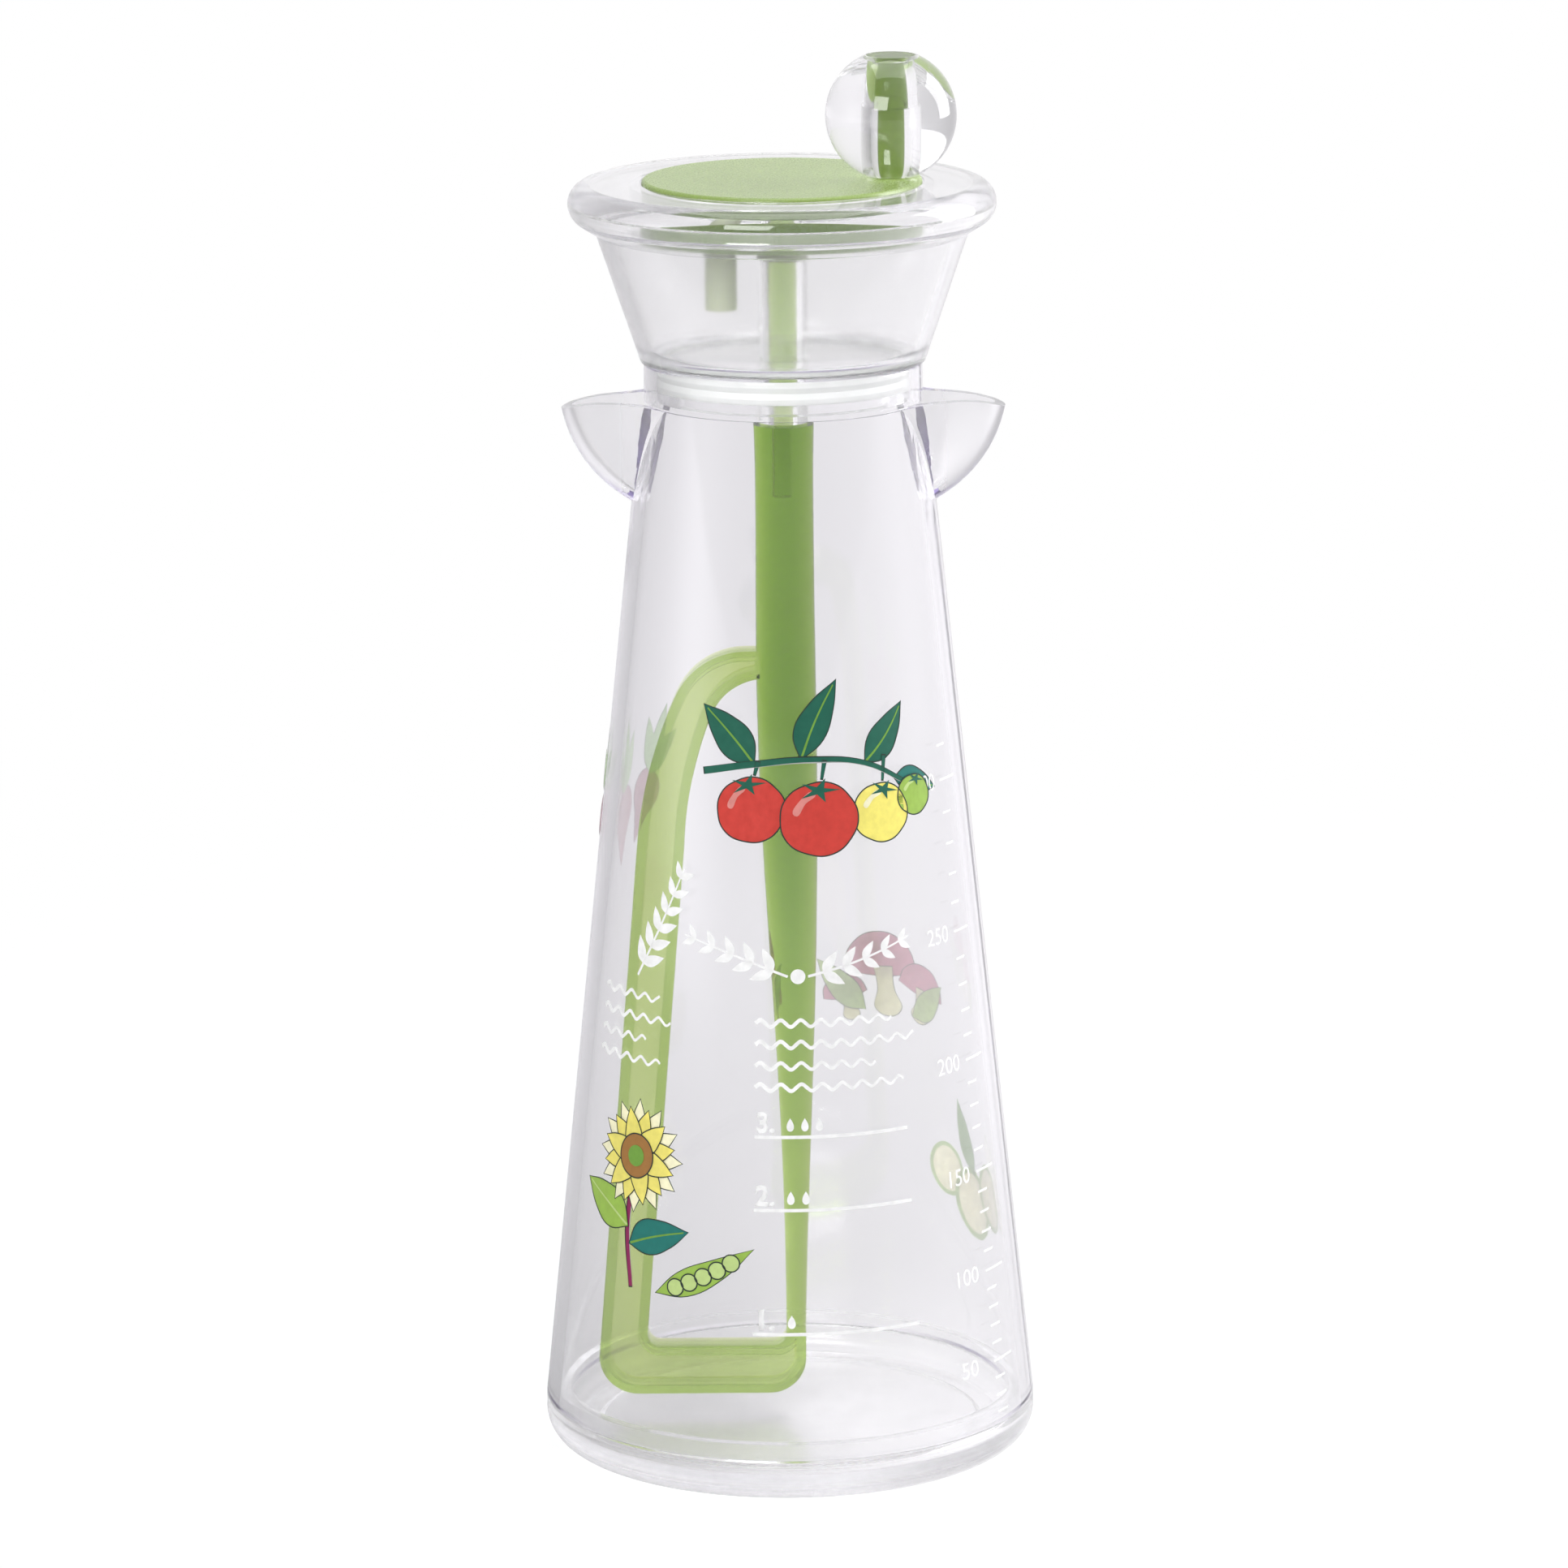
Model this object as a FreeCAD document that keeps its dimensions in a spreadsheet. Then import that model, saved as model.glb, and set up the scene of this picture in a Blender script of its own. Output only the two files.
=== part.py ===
import FreeCAD, Part

import math
import os
import re

import Sketcher

# A clear dressing bottle with a crank in its lid. Millimetres, origin at the middle of the foot,
# +Z up. The two pouring lips lie along X, the paddle's loop on -X and the crank's knob on +X.

# Driving sizes, kept in the document's sheet
SIZES = {
    # Base cap
    "base_radius": 37.5,
    "base_round": 4.9,
    "foot_width": 3.2,
    "foot_recess": 0.8,
    "joint_height": 6.6,
    "seam_bevel": 0.45,
    "floor_height": 3.8,
    "floor_fillet": 2.4,
    "spigot_rise": 2.4,
    "spigot_wall": 1.6,
    # Bottle body
    "rim_height": 162.0,
    "rim_step": 0.4,
    "bottle_wall": 2.0,
    "neck_bore": 19.1,
    "neck_wall": 1.8,
    "neck_height": 6.0,
    "neck_round": 0.6,
    # Pouring lips
    "lip_overhang": 12.2,
    "lip_tip": 3.4,
    "lip_flare": 16.0,
    "lip_depth": 15.6,
    "lip_wall": 1.6,
    "lip_droop": 1.7,
    # Lid cup and plug
    "plug_gap": 0.3,
    "plug_depth": 5.5,
    "plug_wall": 1.5,
    "gasket_groove": 1.5,
    "gasket_height": 3.4,
    "gasket_drop": 0.4,
    "gasket_gap": 0.08,
    "cup_step": 0.5,
    "cup_flare": 6.5,
    "cup_height": 19.3,
    "cup_wall": 2.0,
    "cup_fillet": 4.0,
    "lid_floor": 2.2,
    "lid_floor_rise": 0.4,
    "tube_radius": 3.65,
    # Rounded edge of the lid, shared by the cup's lip and the top ring
    "flange_overhang": 4.1,
    "flange_edge": 3.1,
    "flange_rise": 7.4,
    "ring_plate": 2.1,
    "ring_spigot": 1.5,
    "ring_spigot_depth": 1.4,
    "ring_collar": 1.5,
    "ring_collar_depth": 4.5,
    # Crank disc
    "disc_radius": 20.95,
    "disc_gap": 0.3,
    "disc_rise": 0.5,
    "disc_plate": 2.0,
    "disc_skirt": 6.5,
    "disc_skirt_wall": 1.6,
    "disc_round": 0.6,
    "hub_radius": 3.8,
    "hub_length": 9.4,
    "peg_offset": 9.2,
    "peg_radius": 2.4,
    "peg_floor_gap": 7.5,
    # Drive shaft
    "shaft_radius": 1.45,
    "journal_radius": 2.1,
    "journal_rise": 3.4,
    "shaft_flat": 0.5,
    "shaft_cover": 0.9,
    "bearing_gap": 0.06,
    "thrust_gap": 0.3,
    "seat_gap": 0.03,
    # Knob
    "knob_inset": 4.65,
    "ball_radius": 9.8,
    "ball_land": 0.24,
    "pin_radius": 2.0,
    "pin_shank_radius": 2.65,
    "pin_shank_length": 6.8,
    "pin_head_radius": 3.6,
    "pin_head": 1.2,
    "ball_bore": 3.0,
    "pin_boss_radius": 3.4,
    "pin_boss": 3.7,
    # Mixing paddle
    "stem_radius": 4.55,
    "stem_drop": 9.9,
    "stem_socket": 11.0,
    "loop_drop": 34.5,
    "loop_floor_gap": 3.1,
    "loop_thickness": 4.4,
    "heel_gap": 5.6,
    "shoulder_gap": 3.74,
    "top_run": 6.0,
    "top_bar": 4.2,
    "side_bar": 7.1,
    "bottom_bar": 7.6,
    "bend_radius": 11.6,
    "shoulder_radius": 70.0,
    "heel_radius": 6.0,
    "toe_radius": 5.6,
    "corner_fillet": 2.0,
    "bar_edge": 1.5,
    "bar_recess": 0.9,
    # Every cut runs this far past the face it opens
    "overrun": 1.0,
}

# The lip's level sections: how far down its depth each lies, and how far out of the bore it reaches
LIP_DROP_SHARES = (0.0, 0.5, 1.0)
LIP_REACH_SHARES = (1.0, 0.815, 0.25)
# The direction square to the lip's straight side
LIP_NORMAL_SHARES = (0.342, 0.940)
# Its channel ends a little higher, because the wall there is sloped
CHANNEL_DEPTH_SHARE = 0.93
CHANNEL_WALL_SHARES = (1.0, 1.15, 1.4)
# The lip's brim starts to fall at this share of its overhang
DROOP_START_SHARE = 0.35

# Under the lid's rounded edge: where its arc starts, as shares of the edge's radius
EDGE_ACROSS_SHARE = 0.56
EDGE_DOWN_SHARE = 0.83

# The paddle's stem: height up from the loop's bottom, half width and shift to +X at each section.
# Its lower sections are oval, because the stem ends as thick as the loop that it joins.
STEM_HEIGHT_SHARES = (1.0, 0.775, 0.575, 0.395, 0.24, 0.035)
STEM_RADIUS_SHARES = (1.0, 0.99, 0.92, 0.69, 0.47, 0.33)
STEM_SHIFT_SHARES = (0.0, 0.02, 0.12, 0.23, 0.26, 0.22)
STEM_OVAL_SHARES = (1.0, 1.0, 1.0, 1.05, 1.2, 1.5)
# The top bar is cut off this far from the stem's axis, inside the stem
TOP_BAR_END_SHARE = 0.75
# Where the loop's side starts to bend, down its height, and the direction square to the bend's end
SHOULDER_SHARE = 0.259
BEND_NORMAL_SHARES = (0.906, 0.423)

# Heights and radii that follow from the driving sizes
DERIVED = {
    "base_bore": "base_radius - bottle_wall",
    "bore_slope": "(base_bore - neck_bore) / (rim_height - joint_height)",
    "foot_radius": "base_radius - base_round",
    "spigot_height": "joint_height + spigot_rise",
    "neck_radius": "neck_bore + neck_wall",
    "rim_radius": "neck_radius + rim_step",
    "lip_reach": "rim_radius + lip_overhang",
    "neck_top": "rim_height + neck_height",
    "plug_radius": "neck_bore - plug_gap",
    "groove_radius": "plug_radius - gasket_groove",
    "gasket_top": "neck_top - gasket_drop",
    "gasket_bottom": "gasket_top - gasket_height",
    "lid_floor_top": "neck_top + lid_floor_rise",
    "cup_low_radius": "neck_radius + cup_step",
    "cup_radius": "cup_low_radius + cup_flare",
    "cup_top": "neck_top + cup_height",
    "flange_radius": "cup_radius + flange_overhang",
    "ring_top": "cup_top + flange_rise",
    "ring_seam": "ring_top - flange_edge",
    "ring_bore": "disc_radius + disc_gap",
    "spigot_radius": "flange_radius - cup_wall - seat_gap",
    "ring_spigot_bottom": "ring_seam - ring_spigot_depth",
    "disc_top": "ring_top + disc_rise",
    "disc_under": "disc_top - disc_plate",
    "hub_bottom": "disc_under - hub_length",
    "peg_length": "disc_under - lid_floor_top - peg_floor_gap",
    "stem_top": "neck_top - stem_drop",
    "tube_top": "hub_bottom - thrust_gap",
    "tube_bottom": "stem_top + thrust_gap",
    "bearing_bore": "journal_radius + bearing_gap",
    "journal_bottom": "stem_top + journal_rise",
    "shaft_top": "disc_top - shaft_cover - disc_plate / 2",
    "shaft_bottom": "stem_top - stem_socket",
    "knob_offset": "disc_radius - knob_inset",
    "ball_flat": "pin_head_radius + bearing_gap + ball_land",
    "ball_half": "sqrt(ball_radius ^ 2 - ball_flat ^ 2)",
    "ball_height": "disc_top + thrust_gap + ball_half",
    "pin_top": "ball_height + ball_half",
    "pin_head_bottom": "pin_top - pin_head",
    "pin_shoulder": "pin_head_bottom - pin_shank_length",
    "pin_bottom": "disc_under - pin_boss",
    "loop_top": "stem_top - loop_drop",
    "loop_bottom": "floor_height + loop_floor_gap",
    "heel_up": "loop_bottom + heel_radius",
    "heel_across": "base_bore - bore_slope * (heel_up - joint_height) - heel_gap",
    "shoulder_up": f"loop_top - (loop_top - loop_bottom) * {SHOULDER_SHARE}",
    "shoulder_across": "base_bore - bore_slope * (shoulder_up - joint_height) - shoulder_gap",
    "side_lean": "(heel_across - shoulder_across) / (shoulder_up - heel_up)",
    "side_length": "sqrt(1 + side_lean ^ 2)",
    "bend_across": f"top_run + bend_radius * {BEND_NORMAL_SHARES[0]}",
    "bend_up": f"loop_top - bend_radius * (1 - {BEND_NORMAL_SHARES[1]})",
    "bend_bar": "(top_bar + 2 * side_bar) / 3",
    "inner_bend": "bend_radius - (top_bar - {0} * bend_bar) / (1 - {0})".format(BEND_NORMAL_SHARES[1]),
    "inner_run": f"bend_across - (bend_bar + inner_bend) * {BEND_NORMAL_SHARES[0]}",
    "foot_up": "loop_bottom + bottom_bar + corner_fillet",
    "foot_left": f"stem_radius * {STEM_SHIFT_SHARES[-1] - STEM_RADIUS_SHARES[-1]:.3f}",
    "toe_across": f"stem_radius * {STEM_SHIFT_SHARES[-1] + STEM_RADIUS_SHARES[-1]:.3f}",
}

ALIASES = list(SIZES) + list(DERIVED)

doc = FreeCAD.newDocument("dressing_bottle")
sheet = doc.addObject("Spreadsheet::Sheet", "sizes")
for row, alias in enumerate(ALIASES, start=1):
    sheet.set(f"A{row}", alias)
    sheet.set(f"B{row}", str(SIZES[alias]) if alias in SIZES else f"={DERIVED[alias]}")
    sheet.setAlias(f"B{row}", alias)
doc.recompute()


def expression(formula):
    """Return a formula of size names as an expression that any object can hold."""
    def name_cell(word):
        return f"{sheet.Name}.{word[0]}" if word[0] in ALIASES else word[0]

    return re.sub(r"[a-z]\w+", name_cell, formula)


def amount(formula):
    """Return a formula's present value."""
    return float(sheet.evalExpression(formula))


def new_body(label):
    body = doc.addObject("PartDesign::Body", label)
    body.Label = label
    return body


def origin_plane(body, role):
    return next(item for item in body.Origin.OriginFeatures if item.Role == role)


def new_sketch(body, name, plane, height="0"):
    """Attach a sketch to one of the body's own planes, raised along the plane's normal."""
    sketch = body.newObject("Sketcher::SketchObject", name)
    sketch.AttachmentSupport = (origin_plane(body, plane), "")
    sketch.MapMode = "FlatFace"
    sketch.setExpression("AttachmentOffset.Base.z", expression(height))
    return sketch


def hold_point(sketch, edge, end, across, up):
    """Fix one point of an edge at a place given by two formulas."""
    for kind, axis, formula in (("DistanceX", -2, across), ("DistanceY", -1, up)):
        if formula == "0":
            sketch.addConstraint(Sketcher.Constraint("PointOnObject", edge, end, axis))
            continue
        index = sketch.addConstraint(Sketcher.Constraint(kind, -1, 1, edge, end, amount(formula)))
        sketch.setExpression(f"Constraints[{index}]", expression(formula))


def hold_size(sketch, kind, edge, formula):
    index = sketch.addConstraint(Sketcher.Constraint(kind, edge, amount(formula)))
    sketch.setExpression(f"Constraints[{index}]", expression(formula))


def arc_between(start, end, radius, side):
    """Return the arc of under half a turn from start to end with its centre on that side."""
    chord = end - start
    reach = math.sqrt(radius**2 - chord.Length**2 / 4)
    left = FreeCAD.Vector(-chord.y, chord.x, 0).normalize()
    centre = (start + end) / 2 + left * (reach if side == "left" else -reach)
    first, last = (start, end) if side == "left" else (end, start)
    angles = [math.atan2(point.y - centre.y, point.x - centre.x) for point in (first, last)]
    return Part.ArcOfCircle(Part.Circle(centre, FreeCAD.Vector(0, 0, 1), radius), *angles)


def draw_outline(sketch, corners):
    """Draw a closed outline whose corners are pairs of formulas.

    A corner with a radius and a side starts an arc, and any other corner a straight edge.
    """
    places = [FreeCAD.Vector(amount(corner[0]), amount(corner[1]), 0) for corner in corners]
    ends = []
    for corner, start, stop in zip(corners, places, places[1:] + places[:1]):
        if len(corner) == 2:
            edge = sketch.addGeometry(Part.LineSegment(start, stop))
            ends.append((edge, 1, 2))
            continue
        radius, side = corner[2:]
        edge = sketch.addGeometry(arc_between(start, stop, amount(radius), side))
        ends.append((edge, 1, 2) if side == "left" else (edge, 2, 1))
    for (edge, first, last), (follower, follower_first, unused) in zip(ends, ends[1:] + ends[:1]):
        sketch.addConstraint(Sketcher.Constraint("Coincident", edge, last, follower, follower_first))
    for corner, (edge, first, last) in zip(corners, ends):
        hold_point(sketch, edge, first, corner[0], corner[1])
        if len(corner) > 2:
            hold_size(sketch, "Radius", edge, corner[2])


def draw_circle(sketch, across, up, radius):
    place = FreeCAD.Vector(amount(across), amount(up), 0)
    edge = sketch.addGeometry(Part.Circle(place, FreeCAD.Vector(0, 0, 1), amount(radius)))
    hold_point(sketch, edge, 3, across, up)
    hold_size(sketch, "Radius", edge, radius)


def draw_ellipse(sketch, across, half_length, half_width):
    """Draw an ellipse centred on the sketch's first axis, with its half length along that axis."""
    place = FreeCAD.Vector(amount(across), 0, 0)
    along = FreeCAD.Vector(amount(half_length), 0, 0)
    aside = FreeCAD.Vector(0, amount(half_width), 0)
    ends = [place + along, place + aside]
    spans = [("Horizontal", half_length), ("Vertical", half_width)]
    if amount(half_width) > amount(half_length):
        ends.reverse()
        spans.reverse()
    edge = sketch.addGeometry(Part.Ellipse(*ends, place))
    sketch.exposeInternalGeometry(edge)
    hold_point(sketch, edge, 3, across, "0")
    sketch.addConstraint(Sketcher.Constraint(spans[0][0], edge + 1))
    for axis, (unused, half) in enumerate(spans, start=edge + 1):
        hold_size(sketch, "Distance", axis, f"2 * ({half})")


def turn(body, name, corners, kind="Revolution"):
    """Revolve an outline drawn in radius and height about Z; a Groove takes it away."""
    sketch = new_sketch(body, f"{name}_outline", "XZ_Plane")
    draw_outline(sketch, corners)
    feature = body.newObject(f"PartDesign::{kind}", name)
    feature.Profile = sketch
    feature.ReferenceAxis = (sketch, ["V_Axis"])
    feature.Angle = 360
    doc.recompute()
    return feature


def extrude(body, name, sketch, length, kind="Pad", down=False, midplane=False):
    """Pad a sketch or cut it away; down goes against the sketch's normal."""
    feature = body.newObject(f"PartDesign::{kind}", name)
    feature.Profile = sketch
    feature.setExpression("Length", expression(length))
    feature.Reversed = down
    feature.SideType = "Symmetric" if midplane else "One side"
    doc.recompute()
    return feature


def join_sections(body, name, sections, kind="AdditiveLoft"):
    feature = body.newObject(f"PartDesign::{kind}", name)
    feature.Profile = sections[0]
    feature.Sections = sections[1:]
    doc.recompute()
    return feature


def mirror(body, name, features, plane):
    feature = body.newObject("PartDesign::Mirrored", name)
    feature.Originals = features
    feature.MirrorPlane = (origin_plane(body, plane), [""])
    body.Tip = feature
    doc.recompute()
    return feature


def round_circles(body, name, places, radius):
    """Round the level circular edges of the body that have these radii and heights."""
    base = body.Tip
    wanted = [(amount(across), amount(up)) for across, up in places]
    tolerance = amount("seat_gap") / 2
    names = []
    for index, edge in enumerate(base.Shape.Edges, start=1):
        if not isinstance(edge.Curve, Part.Circle):
            continue
        size = (edge.Curve.Radius, edge.Curve.Center.z)
        if any(math.dist(size, place) < tolerance for place in wanted):
            names.append(f"Edge{index}")
    feature = body.newObject("PartDesign::Fillet", name)
    feature.Base = (base, names)
    feature.setExpression("Radius", expression(radius))
    doc.recompute()
    return feature


def make_base_cap():
    body = new_body("base_cap")
    spigot_top_radius = "base_bore - bore_slope * (spigot_height - joint_height) - seat_gap"
    turn(body, "cap", [
        ("0", "foot_recess"),
        ("foot_radius - foot_width - foot_recess", "foot_recess"),
        ("foot_radius - foot_width", "0"),
        ("foot_radius", "0", "base_round", "left"),
        ("base_radius", "base_round"),
        ("base_radius", "joint_height - seam_bevel"),
        ("base_radius - seam_bevel", "joint_height"),
        ("base_bore - seat_gap", "joint_height"),
        (spigot_top_radius, "spigot_height"),
        (f"{spigot_top_radius} - spigot_wall", "spigot_height"),
        ("base_bore - seat_gap - spigot_wall", "floor_height"),
        ("0", "floor_height"),
    ])
    round_circles(body, "floor_corner", [("base_bore - seat_gap - spigot_wall", "floor_height")],
                  "floor_fillet")
    return body


def lip_outline(shift, wall, circle):
    """Return a pinched lip's outline: a round tip, straight sides, and flares that leave a circle.

    It is drawn in by wall and moved towards the bottle's axis by shift.
    """
    out, aside = LIP_NORMAL_SHARES
    centre = "lip_reach - lip_tip"
    tip = f"lip_tip - {wall}"
    flare = f"lip_flare + {wall}"
    side_distance = f"({centre}) * {out} + lip_flare + lip_tip"
    reach = f"({circle} + {flare})"
    along = f"sqrt({reach} ^ 2 - ({side_distance}) ^ 2)"
    flare_across = f"(({side_distance}) * {out} + {along} * {aside})"
    flare_up = f"(({side_distance}) * {aside} - {along} * {out})"
    half = [
        (f"{flare_across} * {circle} / {reach} - {shift}", f"{flare_up} * {circle} / {reach}"),
        (f"{flare_across} - ({flare}) * {out} - {shift}", f"{flare_up} - ({flare}) * {aside}"),
        (f"{centre} + ({tip}) * {out} - {shift}", f"({tip}) * {aside}"),
    ]
    below = [(across, f"-({up})") for across, up in half]
    return [
        (*below[0], flare, "right"),
        below[1],
        (*below[2], tip, "left"),
        half[2],
        (*half[1], flare, "right"),
        half[0],
    ]


def lip_sections(body, name, depth, circle, walls):
    """Draw a lip's level outlines, each drawn in by a share of the lip's wall."""
    sections = []
    shares = zip(LIP_DROP_SHARES, LIP_REACH_SHARES, walls)
    for index, (drop, reach, wall) in enumerate(shares):
        sketch = new_sketch(body, f"{name}_{index}", "XY_Plane", f"rim_height - {drop} * {depth}")
        shift = f"(lip_reach - neck_bore) * {1 - reach:.3f}"
        draw_outline(sketch, lip_outline(shift, f"lip_wall * {wall}", circle))
        sections.append(sketch)
    return sections


def make_bottle_body():
    body = new_body("bottle_body")
    turn(body, "outside", [
        ("0", "joint_height"),
        ("base_radius - seam_bevel", "joint_height"),
        ("base_radius", "joint_height + seam_bevel"),
        ("rim_radius", "rim_height"),
        ("0", "rim_height"),
    ])
    no_wall = (0, 0, 0)
    lip = join_sections(body, "lip", lip_sections(body, "lip_outside", "lip_depth", "rim_radius", no_wall))
    mirror(body, "both_lips", [lip], "YZ_Plane")
    channel_sections = lip_sections(body, "lip_inside", f"lip_depth * {CHANNEL_DEPTH_SHARE}", "neck_bore",
                                    CHANNEL_WALL_SHARES)
    channel = join_sections(body, "lip_channel", channel_sections, "SubtractiveLoft")
    mirror(body, "both_channels", [channel], "YZ_Plane")
    brim = new_sketch(body, "brim_outline", "XZ_Plane")
    droop_start = f"rim_radius + lip_overhang * {DROOP_START_SHARE}"
    droop_run = f"lip_overhang * {1 - DROOP_START_SHARE:.3f} + overrun"
    droop_radius = f"(({droop_run}) ^ 2 + lip_droop ^ 2) / (2 * lip_droop)"
    draw_outline(brim, [
        (droop_start, "rim_height", droop_radius, "right"),
        ("lip_reach + overrun", "rim_height - lip_droop"),
        ("lip_reach + overrun", "rim_height + overrun"),
        (droop_start, "rim_height + overrun"),
    ])
    droop = extrude(body, "brim_droop", brim, "2 * lip_overhang", "Pocket", midplane=True)
    mirror(body, "both_brims", [droop], "YZ_Plane")
    turn(body, "neck", [
        ("0", "rim_height"),
        ("neck_radius", "rim_height"),
        ("neck_radius", "neck_top"),
        ("0", "neck_top"),
    ])
    turn(body, "inside", [
        ("0", "joint_height"),
        ("base_bore", "joint_height"),
        ("neck_bore", "rim_height"),
        ("neck_bore", "neck_top"),
        ("0", "neck_top"),
    ], "Groove")
    round_circles(body, "neck_edge", [("neck_radius", "neck_top"), ("neck_bore", "neck_top")], "neck_round")
    return body


def flange_arc_start():
    """Return where the lid's rounded edge starts under the lip."""
    return (f"flange_radius - flange_edge * (1 - {EDGE_ACROSS_SHARE})",
            f"ring_seam - flange_edge * {EDGE_DOWN_SHARE}")


def make_lid_cup():
    body = new_body("lid_cup")
    arc_across, arc_up = flange_arc_start()
    lip_bore = "spigot_radius + seat_gap"
    ledge = "ring_spigot_bottom - seat_gap"
    bearing_step = "journal_bottom - thrust_gap"
    turn(body, "cup", [
        ("shaft_radius + bearing_gap", "tube_bottom"),
        ("tube_radius", "tube_bottom"),
        ("tube_radius", "lid_floor_top - lid_floor"),
        ("groove_radius - plug_wall", "lid_floor_top - lid_floor"),
        ("groove_radius - plug_wall", "neck_top - plug_depth"),
        ("plug_radius", "neck_top - plug_depth"),
        ("plug_radius", "gasket_bottom"),
        ("groove_radius", "gasket_bottom"),
        ("groove_radius", "gasket_top"),
        ("plug_radius", "gasket_top"),
        ("plug_radius", "neck_top"),
        ("cup_low_radius", "neck_top"),
        ("cup_radius", "cup_top"),
        (arc_across, arc_up, "flange_edge", "left"),
        ("flange_radius", "ring_seam"),
        (lip_bore, "ring_seam"),
        (lip_bore, ledge),
        (f"{lip_bore} - ring_spigot", ledge),
        ("cup_radius - cup_wall", "cup_top + cup_wall / 2"),
        ("cup_low_radius - cup_wall", "lid_floor_top"),
        ("tube_radius", "lid_floor_top"),
        ("tube_radius", "tube_top"),
        ("bearing_bore", "tube_top"),
        ("bearing_bore", bearing_step),
        ("shaft_radius + bearing_gap", bearing_step),
    ])
    round_circles(body, "cup_corner", [("cup_low_radius - cup_wall", "lid_floor_top")], "cup_fillet")
    return body


def make_lid_top_ring():
    body = new_body("lid_top_ring")
    turn(body, "ring", [
        ("ring_bore", "ring_top - ring_collar_depth"),
        ("ring_bore + ring_collar", "ring_top - ring_collar_depth"),
        ("ring_bore + ring_collar", "ring_top - ring_plate"),
        ("spigot_radius - ring_spigot", "ring_top - ring_plate"),
        ("spigot_radius - ring_spigot", "ring_spigot_bottom"),
        ("spigot_radius", "ring_spigot_bottom"),
        ("spigot_radius", "ring_seam"),
        ("flange_radius", "ring_seam", "flange_edge", "left"),
        ("flange_radius - flange_edge", "ring_top"),
        ("ring_bore", "ring_top"),
    ])
    return body


def make_lid_gasket():
    body = new_body("lid_gasket")
    waist = "neck_bore - gasket_gap - plug_gap"
    turn(body, "gasket", [
        ("groove_radius + seat_gap", "gasket_bottom"),
        ("neck_bore - gasket_gap", "gasket_bottom"),
        ("neck_bore - gasket_gap", "gasket_bottom + gasket_height / 4"),
        (waist, "gasket_bottom + gasket_height / 2"),
        ("neck_bore - gasket_gap", "gasket_top - gasket_height / 4"),
        ("neck_bore - gasket_gap", "gasket_top"),
        ("groove_radius + seat_gap", "gasket_top"),
    ])
    return body


def draw_keyed_circle(sketch, radius, flat):
    """Draw a circle with one flat on +X, for the ends of the shaft and their sockets."""
    half_chord = f"sqrt(({radius}) ^ 2 - ({radius} - {flat}) ^ 2)"
    near = f"{radius} - {flat}"
    draw_outline(sketch, [
        (near, f"-{half_chord}"),
        (near, half_chord, radius, "left"),
        ("0", radius, radius, "left"),
        (f"-({radius})", "0", radius, "left"),
        ("0", f"-({radius})", radius, "left"),
    ])


def make_crank_disc():
    body = new_body("crank_disc")
    skirt_bore = "disc_radius - disc_skirt_wall"
    turn(body, "disc", [
        ("0", "hub_bottom"),
        ("hub_radius", "hub_bottom"),
        ("hub_radius", "disc_under"),
        (skirt_bore, "disc_under"),
        (skirt_bore, "disc_top - disc_skirt"),
        ("disc_radius", "disc_top - disc_skirt"),
        ("disc_radius", "disc_top"),
        ("0", "disc_top"),
    ])
    peg = new_sketch(body, "peg_circle", "XY_Plane", "disc_under")
    draw_circle(peg, "-peg_offset", "0", "peg_radius")
    extrude(body, "peg", peg, "peg_length", down=True)
    boss = new_sketch(body, "boss_circle", "XY_Plane", "disc_under")
    draw_circle(boss, "knob_offset", "0", "pin_boss_radius")
    extrude(body, "boss", boss, "pin_boss", down=True)
    pin_hole = new_sketch(body, "pin_hole_circle", "XY_Plane", "pin_bottom - overrun")
    draw_circle(pin_hole, "knob_offset", "0", "pin_radius + seat_gap")
    extrude(body, "pin_hole", pin_hole, "disc_plate + pin_boss + 2 * overrun", "Pocket", down=True)
    socket = new_sketch(body, "hub_socket_outline", "XY_Plane", "hub_bottom - overrun")
    draw_keyed_circle(socket, "shaft_radius + seat_gap", "shaft_flat")
    extrude(body, "hub_socket", socket, "shaft_top - hub_bottom + overrun + seat_gap", "Pocket", down=True)
    round_circles(body, "disc_edge", [("disc_radius", "disc_top")], "disc_round")
    return body


def make_drive_shaft():
    """The shaft has a round journal with a shoulder in the lid, and flats where hub and paddle hold it."""
    body = new_body("drive_shaft")
    lower_key = new_sketch(body, "lower_key_outline", "XY_Plane", "shaft_bottom")
    draw_keyed_circle(lower_key, "shaft_radius", "shaft_flat")
    extrude(body, "lower_key", lower_key, "stem_top - shaft_bottom")
    waist = new_sketch(body, "waist_circle", "XY_Plane", "stem_top")
    draw_circle(waist, "0", "0", "shaft_radius")
    extrude(body, "waist", waist, "journal_rise")
    journal = new_sketch(body, "journal_circle", "XY_Plane", "journal_bottom")
    draw_circle(journal, "0", "0", "journal_radius")
    extrude(body, "journal", journal, "hub_bottom - journal_bottom")
    upper_key = new_sketch(body, "upper_key_outline", "XY_Plane", "hub_bottom")
    draw_keyed_circle(upper_key, "shaft_radius", "shaft_flat")
    extrude(body, "upper_key", upper_key, "shaft_top - hub_bottom")
    return body


def make_knob_pin():
    body = new_body("knob_pin")
    turn(body, "pin", [
        ("0", "pin_bottom"),
        ("pin_radius", "pin_bottom"),
        ("pin_radius", "pin_shoulder"),
        ("pin_shank_radius", "pin_shoulder"),
        ("pin_shank_radius", "pin_head_bottom"),
        ("pin_head_radius", "pin_head_bottom"),
        ("pin_head_radius", "pin_top"),
        ("0", "pin_top"),
    ])
    body.setExpression("Placement.Base.x", expression("knob_offset"))
    return body


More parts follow.
